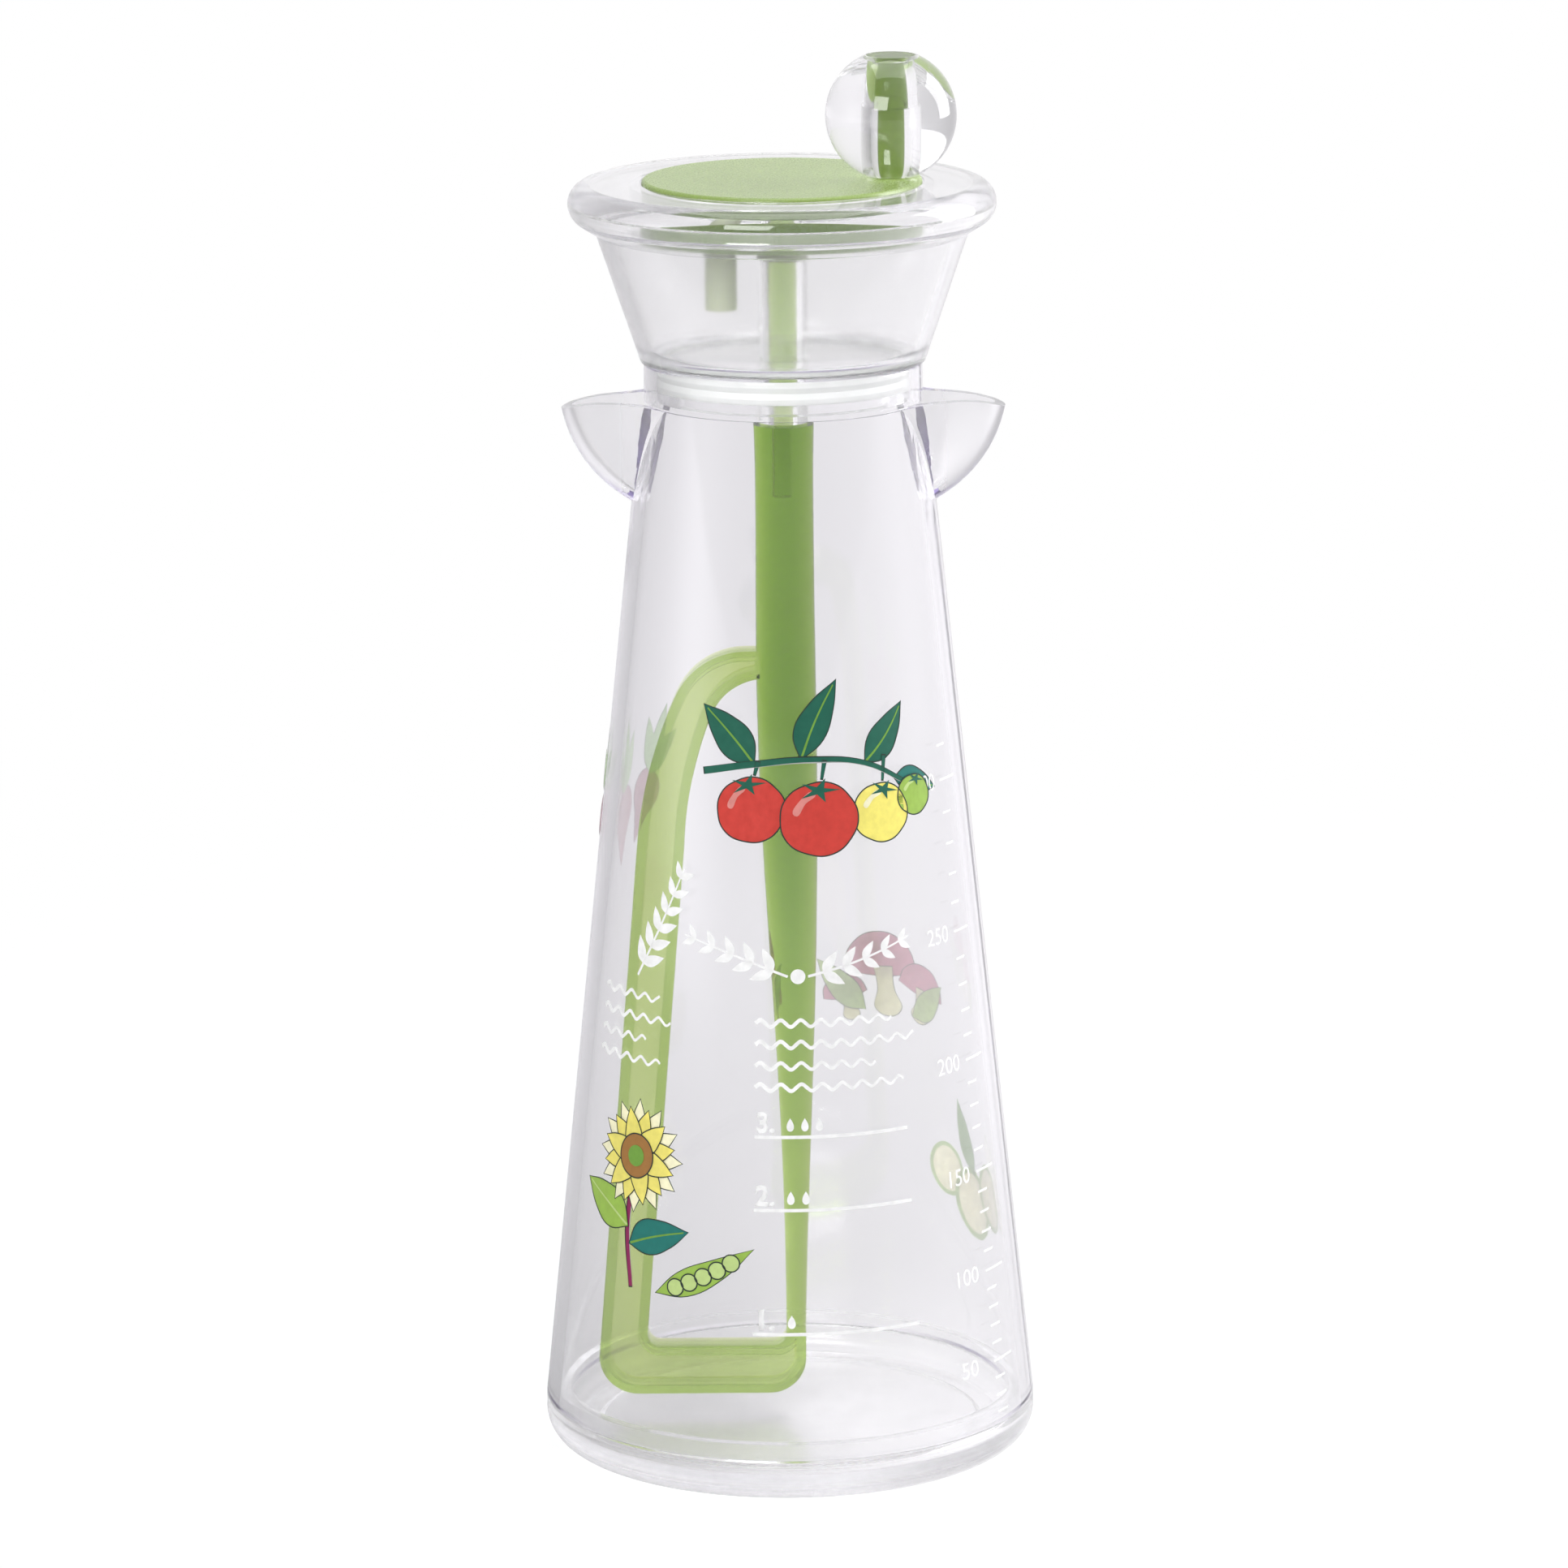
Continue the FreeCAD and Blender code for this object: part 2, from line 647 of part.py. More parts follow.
def make_knob_ball():
    body = new_body("knob_ball")
    turn(body, "ball", [
        ("ball_flat", "ball_height - ball_half", "ball_radius", "left"),
        ("ball_radius", "ball_height", "ball_radius", "left"),
        ("ball_flat", "pin_top"),
        ("pin_head_radius + bearing_gap", "pin_top"),
        ("pin_head_radius + bearing_gap", "pin_head_bottom - bearing_gap"),
        ("pin_shank_radius + bearing_gap", "pin_head_bottom - bearing_gap"),
        ("pin_shank_radius + bearing_gap", "pin_shoulder"),
        ("ball_bore", "pin_shoulder"),
        ("ball_bore", "ball_height - ball_half"),
    ])
    body.setExpression("Placement.Base.x", expression("knob_offset"))
    return body


def loop_outline(inset, top_end, foot):
    """Return the loop's C outline, drawn in all round by inset.

    Its top bar ends at top_end from the stem's axis, and foot gives its corners under the stem.
    """
    bend_out, bend_rise = BEND_NORMAL_SHARES
    inner_across = "shoulder_across - side_bar + (shoulder_up - foot_up) * side_lean"
    inner_low = f"loop_bottom + bottom_bar - {inset}"
    inner_end = (f"loop_top - top_bar - inner_bend"
                 f" + sqrt((inner_bend + {inset}) ^ 2 - ({top_end} - inner_run) ^ 2)")

    def along_bend(distance):
        return f"-bend_across + ({distance}) * {bend_out}", f"bend_up - ({distance}) * {bend_rise}"

    def along_side(distance):
        return (f"-shoulder_across + ({distance}) / side_length",
                f"shoulder_up - ({distance}) * side_lean / side_length")

    return [
        (f"-({top_end})", f"loop_top - {inset}"),
        ("-top_run", f"loop_top - {inset}", f"bend_radius - {inset}", "left"),
        (*along_bend(inset), f"shoulder_radius - {inset}", "left"),
        along_side(inset),
        (f"-heel_across + {inset}", "heel_up", f"heel_radius - {inset}", "left"),
        ("-heel_across + heel_radius", f"loop_bottom + {inset}"),
        ("toe_across - toe_radius", f"loop_bottom + {inset}", f"toe_radius - {inset}", "left"),
        (f"toe_across - {inset}", "loop_bottom + toe_radius"),
        *foot,
        ("foot_left - corner_fillet", inner_low),
        (f"-({inner_across}) + corner_fillet", inner_low, f"corner_fillet + {inset}", "right"),
        (f"-({inner_across}) - {inset}", "foot_up"),
        (*along_side(f"side_bar - {inset}"), f"shoulder_radius - side_bar + {inset}", "right"),
        (*along_bend(f"bend_bar - {inset}"), f"inner_bend + {inset}", "right"),
        (f"-({top_end})", inner_end),
    ]


def make_mixing_paddle():
    body = new_body("mixing_paddle")
    sections = []
    shares = zip(STEM_HEIGHT_SHARES, STEM_RADIUS_SHARES, STEM_SHIFT_SHARES, STEM_OVAL_SHARES)
    for index, (height, radius, shift, oval) in enumerate(shares):
        level = f"loop_bottom + (stem_top - loop_bottom) * {height}"
        sketch = new_sketch(body, f"stem_{index}", "XY_Plane", level)
        across = f"stem_radius * {shift}" if shift else "0"
        half_width = f"stem_radius * {radius}"
        if oval > 1:
            draw_ellipse(sketch, across, half_width, f"{half_width} * {oval}")
        else:
            draw_circle(sketch, across, "0", half_width)
        sections.append(sketch)
    join_sections(body, "stem", sections)
    frame = new_sketch(body, "loop_outline", "XZ_Plane")
    frame_foot = [("toe_across", "foot_up"), ("foot_left", "foot_up", "corner_fillet", "right")]
    draw_outline(frame, loop_outline("0", f"stem_radius * {TOP_BAR_END_SHARE}", frame_foot))
    extrude(body, "loop", frame, "loop_thickness", midplane=True)
    trough = new_sketch(body, "trough_outline", "XZ_Plane", "loop_thickness / 2")
    trough_foot = [("toe_across - bar_edge", "loop_bottom + bottom_bar", "corner_fillet + bar_edge", "right")]
    draw_outline(trough, loop_outline("bar_edge", "stem_radius", trough_foot))
    recess = extrude(body, "trough", trough, "bar_recess", "Pocket")
    mirror(body, "both_troughs", [recess], "XZ_Plane")
    socket = new_sketch(body, "socket_outline", "XY_Plane", "stem_top")
    draw_keyed_circle(socket, "shaft_radius + seat_gap", "shaft_flat")
    extrude(body, "socket", socket, "stem_socket + seat_gap", "Pocket")
    return body


def main():
    makers = (make_bottle_body, make_base_cap, make_lid_cup, make_lid_top_ring, make_lid_gasket,
              make_crank_disc, make_drive_shaft, make_knob_pin, make_knob_ball, make_mixing_paddle)
    bodies = [maker() for maker in makers]
    doc.recompute()
    for item in doc.Objects:
        if {"Invalid", "Error"} & set(item.State):
            raise RuntimeError(f"{item.Label} did not build: {item.State}")
    os.makedirs("parts", exist_ok=True)
    for body in bodies:
        if body.Shape.isNull() or not body.Shape.isValid():
            raise RuntimeError(f"{body.Label} has no valid shape")
        print(body.Label, len(body.Shape.Solids), round(body.Shape.Volume), body.Shape.BoundBox)
    for body in bodies:
        body.Shape.exportStep(os.path.join("parts", f"{body.Label}.step"))


main()
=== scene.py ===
import math

import bmesh
import bpy
from mathutils import Matrix, Vector


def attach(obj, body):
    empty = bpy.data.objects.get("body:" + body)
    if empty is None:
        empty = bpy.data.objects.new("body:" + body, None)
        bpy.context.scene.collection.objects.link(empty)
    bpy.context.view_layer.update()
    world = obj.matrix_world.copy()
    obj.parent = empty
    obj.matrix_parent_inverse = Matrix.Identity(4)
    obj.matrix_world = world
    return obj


# A clear dressing bottle with a crank lid and a green paddle, dressed for a white studio.
# Metres, +Z up, the bottle's foot on the floor. Printed shapes are drawn flat in millimetres.

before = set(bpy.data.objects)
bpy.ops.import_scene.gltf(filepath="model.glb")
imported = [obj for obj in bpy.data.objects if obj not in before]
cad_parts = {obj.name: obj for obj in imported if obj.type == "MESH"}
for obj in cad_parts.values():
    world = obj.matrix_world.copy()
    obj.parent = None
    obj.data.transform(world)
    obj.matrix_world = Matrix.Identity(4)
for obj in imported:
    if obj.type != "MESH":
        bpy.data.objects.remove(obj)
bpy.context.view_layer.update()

MM = 0.001
WHITE = (1.0, 1.0, 1.0)

# Camera, as the photograph's
PHOTO_SIDE = 1932
FOCAL_PIXELS = 9590
SENSOR_WIDTH = 36.0
CAMERA_PLACE = Vector((-0.0003, -1.150, 0.368))
CAMERA_PITCH = math.radians(13.0)
CAMERA_ROLL = math.radians(-0.4)
LIGHT_BOUNCES = 64

# Floor. Its glow grows to full over a span of distances from the object.
FLOOR_HALF_SIDE = 8.0
FLOOR_DROP = 0.2 * MM
FLOOR_COLOUR = (0.93, 0.93, 0.94)
FLOOR_GLOW_NEAR = 0.84
FLOOR_GLOW_SPAN = (0.05, 0.5)
# Where it shows in gloss or through the plastic, it is a little darker close behind the object:
# by which share, from which Y on, and over which distances that fades out again
FLOOR_SHADE = 0.2
FLOOR_SHADE_BEHIND = (-0.01, 0.03)
FLOOR_SHADE_REACH = (0.36, 0.05)

# The studio round the object: how light it is in the middle, and how that changes towards +X, +Y and +Z
SOFT_LIGHT = (0.40, (0.10, 0.06, 0.10))
GLOSS_LIGHT = (0.45, (0.50, 0.50, 0.10))
THROUGH_LIGHT = (0.68, (0.32, 0.20, 0.0))
FLOOR_LIGHT = (0.77, (0.34, 0.08, 0.0))
THROUGH_TINT = (0.985, 0.97, 1.0)
# Soft upright bands of light that show in gloss: direction, tightness and level
GLOSS_BANDS = (((-0.92, -0.39, 0.0), 14, 1.4), ((1.0, 0.07, 0.0), 14, 0.4))
# On the floor the bands fade in over these distances
GLOSS_BAND_START = (0.6, 1.6)
# Softboxes: place, width and height, watts, and whether they also show through clear parts
LAMP_TARGET = (0, 0, 0.11)
LAMPS = {
    "right_softbox": ((0.75, 0.25, 0.45), (0.5, 0.7), 7.0, False),
    "front_softbox": ((-0.35, -1.0, 0.75), (0.5, 0.5), 8.0, True),
    "top_softbox": ((0.0, 0.1, 1.0), (0.6, 0.6), 3.0, True),
}

# A noise's values lie mostly in this span
NOISE_SPAN = (0.3, 0.7)

# Clear plastic
PLASTIC_IOR = 1.5
WIPE_SWING = 0.3
LID_TINT = (0.60, 0.58, 0.68)
WALL_TINT = (0.62, 0.57, 0.74)
BALL_TINT = (0.60, 0.60, 0.64)
# The pouring lips begin in these spans, out along X and up along Z
LIP_ASIDE = (22.5 * MM, 25 * MM)
LIP_HEIGHT = (132 * MM, 140 * MM)

# Green plastic
STREAK_SHADES = (0.92, 1.06)
SKIN_SWING = 0.05
SKIN_DEPTH = 0.1 * MM
# Cloudy plastic scatters light straight on, so it hardly bends what is behind it
CLOUDY_IOR = 1.17
CLOUDY_DEPTH = (0.58, 0.75, 0.12)
PADDLE_GREEN = (0.95, 0.99, 0.68)
PIN_GREEN = (0.26, 0.36, 0.08)
# The crank disc's greens by height, from the foot of its skirt to its face: painted haze on the peg,
# painted shade on the skirt
DISC_SPAN = (188.0 * MM, 195.2 * MM)
# The peg is painted paler, as a painted haze of the lid in front of it
PEG_PAINTED_HAZE_GREEN = (0.46, 0.50, 0.36)
# The skirt is painted darker, as painted shade for where it lies under the ring
SKIRT_PAINTED_SHADE_GREEN = (0.10, 0.15, 0.04)
FACE_GREEN = (0.265, 0.36, 0.115)
DISC_GREENS_PAINTED_HAZE_AND_SHADE = ((0.04, PEG_PAINTED_HAZE_GREEN), (0.1, SKIRT_PAINTED_SHADE_GREEN), (0.86, SKIRT_PAINTED_SHADE_GREEN), (0.93, FACE_GREEN))

# Milky seal
SEAL_SHADES = ((0.90, 0.92, 0.90), (0.96, 0.97, 0.96))
SEAL_ROUGHNESS = (0.35, 0.5)
SEAL_IOR = 1.41
SEAL_CLARITY = 0.45

# The bottle's wall, in millimetres: radius and height at the foot of its taper and at its rim
WALL_LOW = (37.5, 7.05)
WALL_HIGH = (21.3, 162.0)
# Its inside, for the scale: floor, bore at the base's joint and bore at the rim
INSIDE_FLOOR = 3.8
BORE_LOW = (35.5, 6.6)
BORE_HIGH = (19.1, 162.0)
FILL_STEP = 0.05
CUBIC_MM_PER_ML = 1000

# Print, in millimetres
PRINT_GAP = 0.03
INK_THICKNESS = 0.02
LAYER_STEP = 0.03
WRAP_STEP = 0.8
EDGE_WIDTH = 0.13
RIB_WIDTH = 0.35
CURVE_STEPS = 6
STROKE_TAPER = 0.4
INKS = {
    "white": (0.93, 0.93, 0.93),
    "outline": (0.03, 0.05, 0.04),
    "deep_green": (0.012, 0.14, 0.09),
    "teal": (0.012, 0.20, 0.17),
    "leaf_green": (0.20, 0.42, 0.06),
    "light_green": (0.36, 0.56, 0.09),
    "pale_green": (0.58, 0.74, 0.28),
    "red": (0.67, 0.055, 0.04),
    "rose": (0.80, 0.30, 0.27),
    "yellow": (0.93, 0.84, 0.20),
    "cream": (0.95, 0.92, 0.66),
    "amber": (0.42, 0.20, 0.05),
    "magenta": (0.30, 0.02, 0.11),
    "pink": (0.76, 0.32, 0.46),
    "blush": (0.86, 0.66, 0.62),
}
INK_SHADES = (0.93, 1.05)
INK_ROUGHNESS = (0.3, 0.45)
INK_THROUGH_SHARE = 0.25
# The side of an ink that faces the wall shows its white undercoat
UNDERCOAT_SHARE = 0.5
# Where each print sits: degrees from the front towards +X, and height
PRINT_PLACES = {
    "print_tomato_vine": (9, 106),
    "print_sunflower": (-40, 46),
    "print_mushrooms": (147, 66),
    "print_radishes": (-112, 98),
    "print_cucumber": (112, 34),
    "print_scale": (58, 60),
    "print_sprigs": (3, 83),
    "print_side_sprig": (-48, 86),
    "print_steps": (-9, 42),
    "print_waves": (-9, 73),
    "print_side_waves": (-63, 75),
}

# Outlines of printed shapes, one unit in size
LEAF = ((0, 0), (0.27, 0.47), (0.62, 0.40), (1, 0), (0.66, -0.36), (0.30, -0.44))
LEAF_CORNERS = (0, 3)
RIB_STOPS = (0.03, 0.35, 0.65, 0.93)
TOMATO_GLINT = ((-0.62, 0.10), (-0.48, 0.48), (-0.10, 0.66), (-0.34, 0.40))
MUSHROOM_STALK = ((-0.26, 0.05), (-0.22, -0.45), (-0.34, -0.95), (0.34, -0.95), (0.22, -0.45),
                  (0.26, 0.05))
MUSHROOM_CAP = ((-1, 0), (-0.82, 0.50), (0, 0.86), (0.82, 0.50), (1, 0), (0.5, -0.13), (0, -0.16),
                (-0.5, -0.13))
# Spots: middle and radius
MUSHROOM_SPOTS = ((-0.42, 0.30, 0.13), (0.05, 0.52, 0.16), (0.48, 0.24, 0.12))
RADISH_ROOT = ((0, 0.92), (-0.72, 0.66), (-0.92, 0.02), (-0.5, -0.66), (0, -1.7), (0.5, -0.66),
               (0.92, 0.02), (0.72, 0.66))
# Leaves: lean in degrees and length
RADISH_LEAVES = ((62, 2.1), (92, 2.5), (120, 2.0))
RADISH_LEAF_WIDTH = 0.8
RADISH_CROWN = 0.8
RADISH_GLINT = ((-0.62, 0.05), (-0.46, 0.46), (-0.14, 0.62), (-0.38, 0.30))
DROP = ((0, 1.0), (0.44, 0.1), (0.36, -0.42), (0, -0.62), (-0.36, -0.42), (-0.44, 0.1))

SUNFLOWER_PETALS = 12

# A pea pod's width, its peas' radius, and where they sit along it
POD_WIDTH = 4.2
PEA_RADIUS = 1.25
PEA_STOPS = (0.21, 0.35, 0.49, 0.63, 0.77)

# A round slice's rim, middle, ring of seeds, and length and width of a seed, as shares of its radius
SLICE_SEEDS = 9
SLICE_RIM = 0.16
SLICE_MIDDLE = 0.88
SEED_RING = 0.48
SEED_SIZE = (0.3, 0.13)

# A sprig's stalk, and its leaves as shares of the stalk's length and of their own
SPRIG_BOW = 0.06
SPRIG_STOPS = (0, 0.35, 0.7, 1)
SPRIG_STALK_WIDTH = 0.4
SPRIG_LEAF = 0.24
SPRIG_LEAF_SHRINK = 0.45
SPRIG_LEAF_WIDTH = 0.42
SPRIG_LEANS = (-42, 42)

# Scale: marks in millilitres, sizes in millimetres
SCALE_MARKS = range(20, 311, 10)
SCALE_NUMBER_EVERY = 50
MARK_WIDTH = 0.35
MARK_LENGTH = 2.6
NUMBERED_MARK_LENGTH = 5.2
SCALE_DIGIT_SIZE = 3.6

# Fill lines and waves, in millimetres
STEP_HEIGHTS = (-16, 2.7, 13.7)
STEP_LENGTH = 25
STEP_WIDTH = 0.5
STEP_DIGIT_SIZE = 4.2
STEP_DIGIT_WEIGHT = 0.16
DROP_SIZE = 1.25
DROP_PITCH = 2.3
WAVE_ROWS = {"print_waves": (21, 25, 18, 23), "print_side_waves": (13, 15, 11, 14)}
WAVE_ROW_PITCH = 3.2
WAVE_WIDTH = 0.65
WAVE_STEP = 0.75
WAVE_HEIGHT = 0.5


class Nodes:
    """A short way to add shader nodes to a tree and join them. A value is an output or a constant."""

    def __init__(self, tree):
        self.tree = tree
        tree.nodes.clear()

    def add(self, kind, **settings):
        node = self.tree.nodes.new(f"ShaderNode{kind}")
        for name, value in settings.items():
            setattr(node, name, value)
        return node

    def feed(self, socket, value):
        if isinstance(value, bpy.types.NodeSocket):
            self.tree.links.new(value, socket)
        else:
            socket.default_value = value

    def feed_all(self, node, values):
        for socket, value in zip(node.inputs, values):
            self.feed(socket, value)

    def math(self, operation, *values, clamp=False):
        node = self.add("Math", operation=operation, use_clamp=clamp)
        self.feed_all(node, values)
        return node.outputs[0]

    def vector(self, operation, result, *values):
        node = self.add("VectorMath", operation=operation)
        self.feed_all(node, values)
        return node.outputs[result]

    def ranged(self, value, span, result=(0.0, 1.0), curve="SMOOTHSTEP"):
        """Return a factor that goes from one result to the other while a value crosses a span."""
        node = self.add("MapRange", interpolation_type=curve)
        self.feed_all(node, (value, *span, *result))
        return node.outputs["Result"]

    def place(self):
        """Return the object's X, Y and Z as three outputs."""
        split = self.add("SeparateXYZ")
        self.feed(split.inputs[0], self.add("TexCoord").outputs["Object"])
        return split.outputs

    def noise(self, scale, detail, stretch=(1, 1, 1)):
        """Return the factor of a noise on object coordinates, drawn out by stretch."""
        mapping = self.add("Mapping")
        mapping.inputs["Scale"].default_value = stretch
        self.feed(mapping.inputs["Vector"], self.add("TexCoord").outputs["Object"])
        noise = self.add("TexNoise")
        noise.inputs["Scale"].default_value = scale
        noise.inputs["Detail"].default_value = detail
        self.feed(noise.inputs["Vector"], mapping.outputs[0])
        return noise.outputs[0]

    def spread(self, noise, low, high):
        """Return a noise stretched to run from low to high."""
        return self.ranged(noise, NOISE_SPAN, (low, high), "LINEAR")

    def blend(self, factor, first, second):
        """Return a colour between two colours."""
        return self.shades(factor, zip(NOISE_SPAN, (first, second)))

    def shades(self, factor, steps):
        """Return a colour that goes through steps of position and colour."""
        ramp = self.add("ValToRGB")
        stops = ramp.color_ramp.elements
        for index, (position, colour) in enumerate(steps):
            stop = stops[index] if index < len(stops) else stops.new(position)
            stop.position = position
            stop.color = (*colour, 1)
        self.feed(ramp.inputs["Fac"], factor)
        return ramp.outputs["Color"]

    def bump(self, factor, strength, distance):
        bump = self.add("Bump")
        bump.inputs["Strength"].default_value = strength
        bump.inputs["Distance"].default_value = distance
        self.feed(bump.inputs["Height"], factor)
        return bump.outputs["Normal"]

    def shader(self, kind, values):
        node = self.add(kind)
        for name, value in values.items():
            self.feed(node.inputs[name], value)
        return node.outputs[0]

    def mix(self, factor, first, second):
        """Return a shader between two shaders."""
        node = self.add("MixShader")
        self.feed_all(node, (factor, first, second))
        return node.outputs[0]

    def depth(self, tint, density):
        """Return a volume that dims and tints light with the depth it goes through."""
        return self.shader("VolumeAbsorption", {"Color": (*tint, 1), "Density": density})

    def surface(self, shader, volume=None):
        out = self.add("OutputMaterial")
        self.feed(out.inputs["Surface"], shader)
        if volume:
            self.feed(out.inputs["Volume"], volume)


def new_material(name):
    material = bpy.data.materials.new(name)
    material.use_nodes = True
    return material, Nodes(material.node_tree)


def add_mesh(name, bm, materials):
    mesh = bpy.data.meshes.new(name)
    bm.to_mesh(mesh)
    bm.free()
    for material in materials:
        mesh.materials.append(material)
    piece = bpy.data.objects.new(name, mesh)
    bpy.context.scene.collection.objects.link(piece)
    return piece


def tinted(colour, share):
    return tuple(min(part * share, 1) for part in colour)


def add_camera():
    data = bpy.data.cameras.new("camera")
    data.sensor_fit = "HORIZONTAL"
    data.sensor_width = SENSOR_WIDTH
    data.lens = SENSOR_WIDTH * FOCAL_PIXELS / PHOTO_SIDE
    data.clip_end = 4 * FLOOR_HALF_SIDE
    camera = bpy.data.objects.new("camera", data)
    level = Matrix.Rotation(math.pi / 2 - CAMERA_PITCH, 4, "X")
    camera.matrix_world = Matrix.Translation(CAMERA_PLACE) @ level @ Matrix.Rotation(CAMERA_ROLL, 4, "Z")
    bpy.context.scene.collection.objects.link(camera)
    bpy.context.scene.camera = camera


def studio_light(nodes, direction, level, lean):
    """Return how light the studio is in a direction."""
    return nodes.math("ADD", nodes.vector("DOT_PRODUCT", "Value", direction, lean), level, clamp=True)


def gloss_bands(nodes, direction):
    """Return how much light the upright bands add in a direction."""
    bands = []
    for centre, tightness, level in GLOSS_BANDS:
        along = nodes.vector("DOT_PRODUCT", "Value", direction, centre)
        lobe = nodes.math("POWER", nodes.math("MAXIMUM", along, 0.0), tightness)
        bands.append(nodes.math("MULTIPLY", lobe, level))
    return nodes.math("ADD", *bands)


def backdrop(nodes, level, tint=WHITE):
    return nodes.shader("Background", {"Color": (*tint, 1), "Strength": level})


def add_world():
    """A white backdrop to the eye, in a studio that is lighter behind the object and to its right."""
    world = bpy.data.worlds.new("studio")
    world.use_nodes = True
    nodes = Nodes(world.node_tree)
    path = nodes.add("LightPath").outputs
    direction = nodes.add("TexCoord").outputs["Generated"]
    soft, gloss, through = (studio_light(nodes, direction, *light)
                            for light in (SOFT_LIGHT, GLOSS_LIGHT, THROUGH_LIGHT))
    gloss = nodes.math("ADD", gloss, gloss_bands(nodes, direction))
    shown = backdrop(nodes, soft)
    shown = nodes.mix(path["Is Glossy Ray"], shown, backdrop(nodes, gloss))
    shown = nodes.mix(path["Is Transmission Ray"], shown, backdrop(nodes, through, THROUGH_TINT))
    shown = nodes.mix(path["Is Camera Ray"], shown, backdrop(nodes, 1.0))
    nodes.feed(nodes.add("OutputWorld").inputs["Surface"], shown)
    bpy.context.scene.world = world


def seen_rays(nodes, path):
    """Return one for rays that show the background: to the eye, in gloss and through glass."""
    eye_or_gloss = nodes.math("MAXIMUM", path["Is Camera Ray"], path["Is Glossy Ray"])
    return nodes.math("MAXIMUM", eye_or_gloss, path["Is Transmission Ray"])


def floor_paper():
    """White paper that glows towards the eye, fully so away from the object and its shadow.

    In gloss and through the clear plastic its glow follows the studio's light.
    """
    material, nodes = new_material("floor_paper")
    path = nodes.add("LightPath").outputs
    eye = path["Is Camera Ray"]
    place = nodes.add("TexCoord").outputs["Object"]
    direction = nodes.vector("NORMALIZE", "Vector", place)
    distance = nodes.vector("LENGTH", "Value", place)
    far_gloss = nodes.math("MULTIPLY", nodes.ranged(distance, GLOSS_BAND_START), path["Is Glossy Ray"])
    bands = nodes.math("MULTIPLY", gloss_bands(nodes, direction), far_gloss)
    level = nodes.math("ADD", studio_light(nodes, direction, *FLOOR_LIGHT), bands)
    behind = nodes.math("MULTIPLY", nodes.ranged(nodes.place()["Y"], FLOOR_SHADE_BEHIND),
                        nodes.ranged(distance, FLOOR_SHADE_REACH))
    shaded = nodes.math("MULTIPLY", level, nodes.math("MULTIPLY_ADD", behind, -FLOOR_SHADE, 1.0))
    glow = nodes.shader("Emission", {"Color": nodes.blend(eye, THROUGH_TINT, WHITE),
                                     "Strength": nodes.math("MAXIMUM", shaded, eye)})
    near = nodes.ranged(distance, FLOOR_GLOW_SPAN, (FLOOR_GLOW_NEAR, 1.0))
    paper = nodes.shader("BsdfDiffuse", {"Color": (*FLOOR_COLOUR, 1)})
    nodes.surface(nodes.mix(nodes.math("MULTIPLY", seen_rays(nodes, path), near), paper, glow))
    return material


def add_floor():
    bm = bmesh.new()
    bmesh.ops.create_grid(bm, x_segments=1, y_segments=1, size=FLOOR_HALF_SIDE)
    bmesh.ops.translate(bm, verts=bm.verts, vec=(0, 0, -FLOOR_DROP))
    floor = add_mesh("floor", bm, [floor_paper()])


def add_lamps():
    for name, (place, (width, height), power, through) in LAMPS.items():
        data = bpy.data.lights.new(name, "AREA")
        data.shape = "RECTANGLE"
        data.size = width
        data.size_y = height
        data.energy = power
        lamp = bpy.data.objects.new(name, data)
        lamp.visible_camera = False
        lamp.visible_transmission = through
        aim = Vector(LAMP_TARGET) - Vector(place)
        lamp.matrix_world = Matrix.Translation(place) @ aim.to_track_quat("-Z", "Y").to_matrix().to_4x4()
        bpy.context.scene.collection.objects.link(lamp)


def lip_share(nodes):
    """Return one on the pouring lips and zero on the rest of the bottle."""
    place = nodes.place()
    aside = nodes.ranged(nodes.math("ABSOLUTE", place["X"]), LIP_ASIDE)
    return nodes.math("MULTIPLY", aside, nodes.ranged(place["Z"], LIP_HEIGHT))


def clear_plastic(name, tint, density, clarity, roughness, wave, soft_lips=0.0):
    """Polished clear plastic: it bends what is behind it, dims it with depth, and lets the lamps in.

    A slow wave and faint wipe marks in its skin break up the reflections, as on a moulded part.
    """
    material, nodes = new_material(name)
    wipes = nodes.noise(scale=70, detail=5, stretch=(1, 1, 0.2))
    skin = nodes.spread(wipes, (1 - WIPE_SWING) * roughness, (1 + WIPE_SWING) * roughness)
    if soft_lips:
        skin = nodes.math("MULTIPLY_ADD", lip_share(nodes), soft_lips, skin)
    slow_wave = nodes.noise(scale=45, detail=1, stretch=(1, 1, 0.35))
    body = nodes.shader("BsdfPrincipled", {
        "Base Color": (*WHITE, 1),
        "Transmission Weight": clarity,
        "IOR": PLASTIC_IOR,
        "Roughness": skin,
        "Normal": nodes.bump(slow_wave, wave, MM),
    })
    in_shadow = nodes.add("LightPath").outputs["Is Shadow Ray"]
    clear = nodes.shader("BsdfTransparent", {})
    nodes.surface(nodes.mix(in_shadow, body, clear), nodes.depth(tint, density))
    return material


def green_skin(nodes, colour, grain_scale, grain, roughness):
    """Return the faint flow streaks and fine skin of a green moulding."""
    streaks = nodes.noise(scale=110, detail=4, stretch=(1, 1, 0.12))
    skin = nodes.noise(scale=grain_scale, detail=2)
    return {
        "Base Color": nodes.blend(streaks, *(tinted(colour, share) for share in STREAK_SHADES)),
        "Roughness": nodes.spread(skin, roughness - SKIN_SWING, roughness + SKIN_SWING),
        "Normal": nodes.bump(skin, grain, SKIN_DEPTH),
    }


